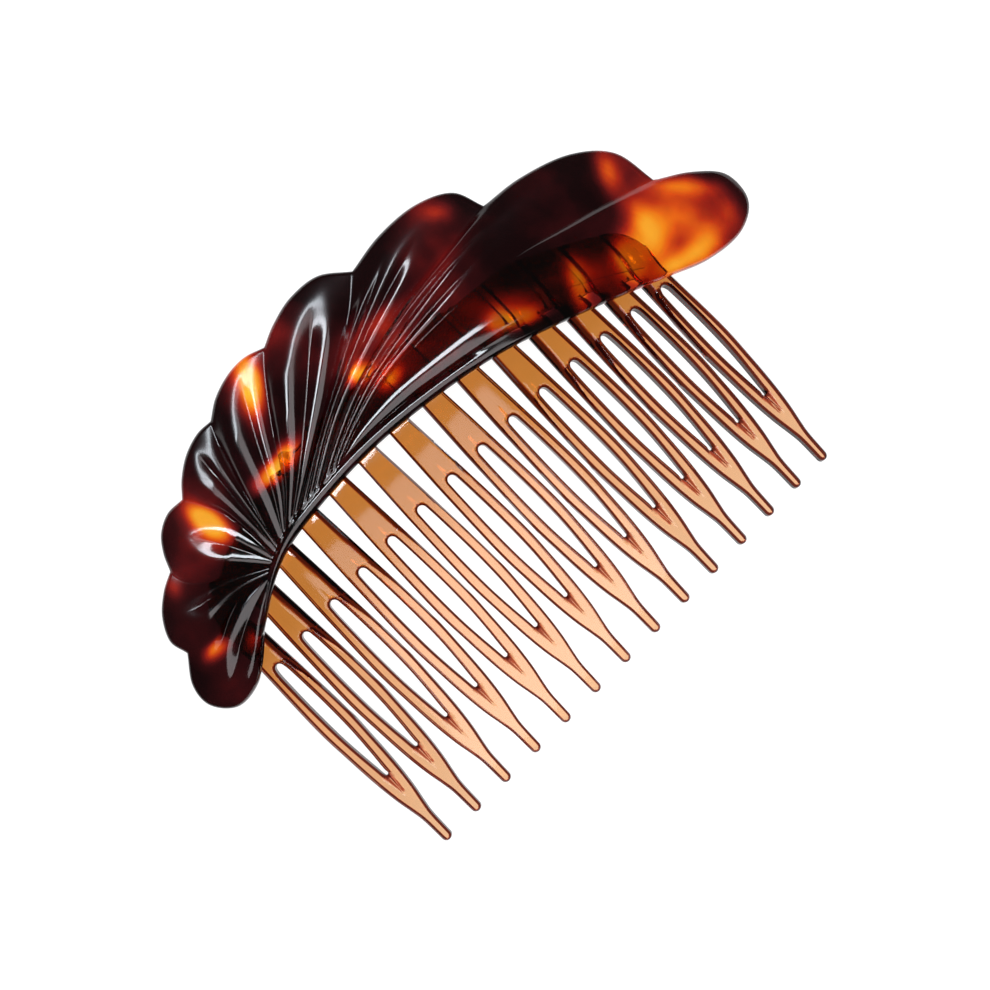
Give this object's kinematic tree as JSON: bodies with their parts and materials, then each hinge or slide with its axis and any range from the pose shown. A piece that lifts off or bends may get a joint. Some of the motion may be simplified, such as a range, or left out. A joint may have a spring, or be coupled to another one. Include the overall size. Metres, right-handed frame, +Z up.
{
  "type": "decorative hair comb",
  "caption": "Bowed decorative hair comb: shell-shaped tortoiseshell ornament cemented on a translucent amber comb with forked teeth.",
  "frame": {"origin": "centre of the bounding box's base, on the surface the comb lies on", "axes": "+X along the comb towards the ornament's long finger, +Y from the tooth tips towards the ornament's crest, +Z up out of the show face"},
  "size_m": [0.1076, 0.0718, 0.0129],
  "materials": {
    "tortoiseshell": "polished dark tortoiseshell acrylic, near-black brown with red halos and amber windows",
    "amber_comb": "glossy translucent amber moulding",
    "cement": "clear solvent cement film"
  },
  "bodies": {
    "root": {"ornament": "tortoiseshell", "cement_film": "cement", "comb_spine": "amber_comb", "tooth_01": "amber_comb", "tooth_02": "amber_comb", "tooth_03": "amber_comb", "tooth_04": "amber_comb", "tooth_05": "amber_comb", "tooth_06": "amber_comb", "tooth_07": "amber_comb", "tooth_08": "amber_comb", "tooth_09": "amber_comb", "tooth_10": "amber_comb", "tooth_11": "amber_comb", "tooth_12": "amber_comb", "tooth_13": "amber_comb", "tooth_14": "amber_comb"}
  },
  "joints": []
}
